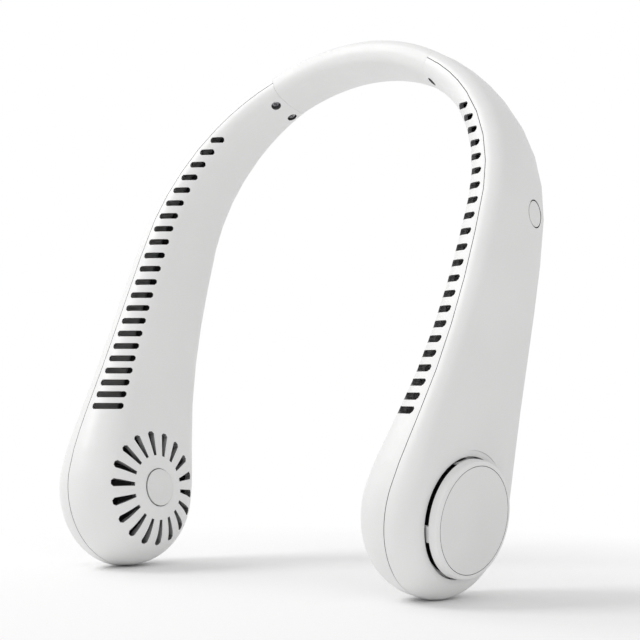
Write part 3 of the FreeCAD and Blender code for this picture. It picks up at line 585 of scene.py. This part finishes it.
# %% Cross recess and thread
HEAD_RADIUS, HEAD_HEIGHT, HEAD_ROUND = 1.9 * MM, 1.4 * MM, 0.45 * MM
SHANK_RADIUS, SHANK_LENGTH, TIP_LENGTH = 1.0 * MM, 7.4 * MM, 0.7 * MM
THREAD_PITCH, THREAD_DEPTH = 0.5 * MM, 0.2 * MM
CROSS_HALF, CROSS_LENGTH, CROSS_WALL, CROSS_DEPTH = 0.3 * MM, 1.15 * MM, 0.12 * MM, 0.8 * MM
HUB_RADIUS, TIP_SHARE = 0.01 * MM, 0.3
SCREW_POINTS, HEAD_STEPS, ROUND_STEPS, SHANK_STEPS = 96, 28, 7, 68


def cross_depth(across, along):
    """Depth of the cross: full within CROSS_HALF of either arm's line, out to CROSS_LENGTH, with
    walls that slope over CROSS_WALL."""
    def within(place, limit):
        """Share that falls from 1 to 0 over CROSS_WALL where the place passes the limit."""
        return np.clip((limit - np.abs(place)) / CROSS_WALL + 0.5, 0, 1)
    arms = (within(across, CROSS_HALF) * within(along, CROSS_LENGTH),
            within(along, CROSS_HALF) * within(across, CROSS_LENGTH))
    return CROSS_DEPTH * np.maximum(*arms)


def screw_rings():
    """Rings of one screw as radius r, depth d below the top of the head and turn t.

    The rings go out over the head, round its edge, down, in to the shank and along it to the tip.
    On the shank r is full on a helix, where d / pitch - t / 2 pi is whole, and falls by
    THREAD_DEPTH midway between its turns."""
    turn = np.linspace(0, 2 * math.pi, SCREW_POINTS, endpoint=False)
    flat = np.linspace(HUB_RADIUS, HEAD_RADIUS - HEAD_ROUND, HEAD_STEPS)
    bend = np.linspace(0, math.pi / 2, ROUND_STEPS)[1:]
    end = HEAD_HEIGHT + SHANK_LENGTH
    shank = np.linspace(HEAD_HEIGHT, end - TIP_LENGTH, SHANK_STEPS)
    radius = np.concatenate([flat, HEAD_RADIUS - HEAD_ROUND * (1 - np.sin(bend)), [HEAD_RADIUS],
                             np.full(len(shank), SHANK_RADIUS), [TIP_SHARE * SHANK_RADIUS]])
    depth = np.concatenate([0 * flat, HEAD_ROUND * (1 - np.cos(bend)), [HEAD_HEIGHT], shank, [end]])
    threaded = (depth > HEAD_HEIGHT + THREAD_PITCH) & (depth < end)
    wave = np.abs((depth[:, None] / THREAD_PITCH - turn / (2 * math.pi)) % 1 - 0.5) * 2
    radius = radius[:, None] - THREAD_DEPTH * threaded[:, None] * (1 - wave)
    across, along = radius * np.cos(turn), radius * np.sin(turn)
    on_head = np.arange(len(depth))[:, None] < len(flat)
    depth = depth[:, None] + np.where(on_head, cross_depth(across, along), 0)
    return across, along, depth


across, along, depth = screw_rings()
print("screw points:", across.size)

# %% [markdown]
# ## Four screws in their recesses
#
# The four screws are alike, so the rings are worked out once and set down at each recess: the arm
# line gives the seat, and the screw's depth runs out of the U.

# %% Screws in place
SCREW_REACH, SCREW_OFFSET, SCREW_TOP = 49.5 * MM, 5.8 * MM, -5.9 * MM
for side, hand in SIDES.items():
    (seat,), (down,), (out,) = arm_line(hand * SCREW_REACH)
    for row, offset in (("front", -SCREW_OFFSET), ("rear", SCREW_OFFSET)):
        rings = (seat + (offset + across[..., None]) * REAR + along[..., None] * down
                 + (SCREW_TOP + depth[..., None]) * out)
        screw = skin(side + "_" + row + "_screw", rings, finish_of("screws"))
        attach(screw, side + "_arm")
        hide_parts(side + "_screws")
        print("screw:", screw.name)

# %% [markdown]
# ## Power button
#
# The button on the right arm's outer face is a round cap that follows the curve of the arm, with
# a fine gap all round it. A flat disc would stand proud of the curved face and hide its own gap
# from the side. So the cap takes the curve of the arm, which is fitted here to the rim of the
# hole in the shell by least squares.

# %% Curve of the arm round the button
HOLE_RADIUS, RIM_NEAR, RIM_DEPTH = 5.6 * MM, 0.03 * MM, 1.0 * MM
BUTTON_RISE = 0.1 * MM
SAME_DIGITS = 7


def points_of(piece):
    """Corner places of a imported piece, each once."""
    places = np.empty(len(piece.data.vertices) * 3, np.float32)
    piece.data.vertices.foreach_get("co", places)
    return np.unique(places.reshape(-1, 3).astype(float).round(SAME_DIGITS), axis=0)


def curve_terms(across, along):
    """Terms of a height b x + c y + d x x + e x y + f y y over the face, 0 in its middle."""
    return np.stack([across, along, across * across, across * along, along * along], -1)


press = next(joint for joint in frame["joints"] if joint["name"] == "power_button_press")
face_out = -np.array(press["axis"])
face_rear = REAR - face_out * (REAR @ face_out)
face_rear /= np.linalg.norm(face_rear)
face_up = np.cross(face_out, face_rear)
places = points_of(nodes["power_button"])
heights = places @ face_out
top = places[heights > heights.max() - RIM_NEAR]
middle = (top.min(0) + top.max(0)) / 2 - BUTTON_RISE * face_out
stem_end = heights.min() - middle @ face_out

rim = points_of(nodes["right_outer_shell"]) - middle
rim_across, rim_along, rim_height = rim @ face_rear, rim @ face_up, rim @ face_out
off_rim = np.abs(np.hypot(rim_across, rim_along) - HOLE_RADIUS)
on_rim = (off_rim < RIM_NEAR) & (rim_height > -RIM_DEPTH)
rim_terms = curve_terms(rim_across[on_rim], rim_along[on_rim])
curve = np.linalg.lstsq(rim_terms, rim_height[on_rim], rcond=None)[0]
print("rim points:", on_rim.sum(), "curve:", np.round(curve, 3))

# %% [markdown]
# ## The button's cap
#
# The cap lies a hair below that curve, and its edge is rounded over. Under it a lip keeps the
# button from falling out of the shell, and a stem reaches down to the switch.

# %% Crowned power button
CAP_RADIUS, CAP_ROUND, CAP_SINK = 5.2 * MM, 0.3 * MM, 0.05 * MM
LIP_RADIUS, LIP_TOP, LIP_LOW, STEM_RADIUS = 6.0 * MM, -3.2 * MM, -4.2 * MM, 1.5 * MM
BUTTON_POINTS, CAP_STEPS, CAP_ROUND_STEPS = 96, 24, 9


def button_rings():
    """Rings of the button: out over the cap, whose height is the arm's curve less CAP_SINK, round
    its edge on a quarter circle, down to the lip, round the lip and along the stem."""
    turn = np.linspace(0, 2 * math.pi, BUTTON_POINTS, endpoint=False)
    bend = np.linspace(0, math.pi / 2, CAP_ROUND_STEPS)[1:]
    flat = np.linspace(HUB_RADIUS, CAP_RADIUS - CAP_ROUND, CAP_STEPS)
    over = np.concatenate([flat, CAP_RADIUS - CAP_ROUND * (1 - np.sin(bend))])
    drop = np.concatenate([0 * flat, CAP_ROUND * (1 - np.cos(bend))])
    under = np.array([CAP_RADIUS, LIP_RADIUS, LIP_RADIUS, STEM_RADIUS, STEM_RADIUS])
    level = np.array([LIP_TOP, LIP_TOP, LIP_LOW, LIP_LOW, stem_end])
    radius = np.concatenate([over, under])[:, None]
    across, along = radius * np.cos(turn), radius * np.sin(turn)
    height = curve_terms(across, along) @ curve - CAP_SINK
    height[:len(over)] -= drop[:, None]
    height[len(over):] = level[:, None]
    return (middle + across[..., None] * face_rear + along[..., None] * face_up
            + height[..., None] * face_out)


cap = skin("power_button_cap", button_rings(), finish_of("power_button"))
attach(cap, "button")
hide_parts("power_button")
print("button points:", len(cap.data.vertices))

# %% [markdown]
# ## Floor
#
# The photograph has a white sweep of paper: the object's shadow lies on it and fades into plain
# white. A large plane stands for it.

# %% Floor
FLOOR_HALF = 6.0
floor_mesh = bpy.data.meshes.new("studio_floor")
floor_corners = FLOOR_HALF * np.array([(-1, -1, 0), (1, -1, 0), (1, 1, 0), (-1, 1, 0)])
floor_mesh.from_pydata(floor_corners.tolist(), [], [(0, 1, 2, 3)])
floor = bpy.data.objects.new("studio_floor", floor_mesh)
scene.collection.objects.link(floor)
print("floor half width:", FLOOR_HALF)

# %% [markdown]
# ## White paper
#
# The paper is lit like any surface round the ends that stand on it, and for the eye and for
# reflections it turns to the backdrop's white further out, so no edge or horizon shows. One
# evenly lit paper would end in a grey horizon.

# %% Paper that fades to white
FLOOR_MIDDLE = (0.03, -0.06, 0)
FLOOR_NEAR, FLOOR_FAR = 0.14, 0.3
PAPER, WHITE = (0.97, 0.97, 0.97, 1), (1, 1, 1, 1)


def seen_directly(tree):
    """Share that is 1 for rays from the eye, in reflections and through clear pieces, as the
    greatest of three ray kinds, and 0 for light."""
    path = tree.nodes.new("ShaderNodeLightPath")
    share = path.outputs["Is Camera Ray"]
    for kind in ("Is Glossy Ray", "Is Transmission Ray"):
        either = tree.nodes.new("ShaderNodeMath")
        either.operation = "MAXIMUM"
        tree.links.new(share, either.inputs[0])
        tree.links.new(path.outputs[kind], either.inputs[1])
        share = either.outputs[0]
    return share


paper = bpy.data.materials.new("white_paper")
paper.use_nodes = True
tree = paper.node_tree
tree.nodes.clear()
add, link = tree.nodes.new, tree.links.new
output, mix = add("ShaderNodeOutputMaterial"), add("ShaderNodeMixShader")
lit, white = add("ShaderNodeBsdfDiffuse"), add("ShaderNodeEmission")
lit.inputs["Color"].default_value = PAPER
white.inputs["Color"].default_value = WHITE
place, length = add("ShaderNodeTexCoord"), add("ShaderNodeVectorMath")
share = add("ShaderNodeMath")
length.operation = "DISTANCE"
length.inputs[1].default_value = FLOOR_MIDDLE
share.operation = "MULTIPLY"
link(place.outputs["Object"], length.inputs[0])
fade = range_between(tree, length.outputs["Value"], 0, 1, (FLOOR_NEAR, FLOOR_FAR))
link(fade, share.inputs[0])
link(seen_directly(tree), share.inputs[1])
link(share.outputs[0], mix.inputs["Fac"])
link(lit.outputs["BSDF"], mix.inputs[1])
link(white.outputs["Emission"], mix.inputs[2])
link(mix.outputs["Shader"], output.inputs["Surface"])
floor.data.materials.append(paper)
print("paper fades from", FLOOR_NEAR, "to", FLOOR_FAR)

# %% [markdown]
# ## Backdrop
#
# The backdrop is white to the eye, while the room lights the object with less than that. One
# background of full strength would flood the white plastic and hide its soft shading.

# %% White backdrop and room light
ROOM_LIGHT, BACKDROP_LIGHT = 0.65, 1.0
world = bpy.data.worlds.new("studio_world")
scene.world = world
world.use_nodes = True
tree = world.node_tree
tree.nodes.clear()
add, link = tree.nodes.new, tree.links.new
output, mix = add("ShaderNodeOutputWorld"), add("ShaderNodeMixShader")
room, backdrop = add("ShaderNodeBackground"), add("ShaderNodeBackground")
for background, strength in ((room, ROOM_LIGHT), (backdrop, BACKDROP_LIGHT)):
    background.inputs["Color"].default_value = WHITE
    background.inputs["Strength"].default_value = strength
link(seen_directly(tree), mix.inputs["Fac"])
link(room.outputs["Background"], mix.inputs[1])
link(backdrop.outputs["Background"], mix.inputs[2])
link(mix.outputs["Shader"], output.inputs["Surface"])
print("room light:", ROOM_LIGHT)

# %% [markdown]
# ## Soft boxes
#
# Soft, wide lamps give the photograph its smooth greys. The key lamp stands at the upper left in
# front, so the shadows fall to the right, and two weaker ones lift the left side and the front. A
# row holds the place and the width in metres, and the power in watts.

# %% Soft boxes
LAMP_AIM = np.array([0, 0, 0.1])
SOFT_BOXES = {
    "key_box": ((-0.75, -0.65, 1.05), 0.55, 6.1),
    "side_box": ((-1.0, 0.0, 0.9), 0.6, 2.2),
    "fill_box": ((0.9, -0.9, 0.6), 0.9, 1.8),
}


def soft_box(name, at, size, power):
    """Square area lamp at a place, turned to face LAMP_AIM: tipped by the angle between straight
    down and the aim, then turned round the upright axis to it."""
    data = bpy.data.lights.new(name, "AREA")
    data.shape = "SQUARE"
    data.size = size
    data.energy = power
    lamp = bpy.data.objects.new(name, data)
    lamp.location = at
    x, y, z = LAMP_AIM - np.array(at)
    lamp.rotation_euler = (math.atan2(math.hypot(x, y), -z), 0, math.atan2(-x, y))
    scene.collection.objects.link(lamp)


for name, (at, size, power) in SOFT_BOXES.items():
    soft_box(name, at, size, power)
scene.view_settings.view_transform = "Standard"

# %% [markdown]
# ## End

# %% End of the scene
print("scene built")
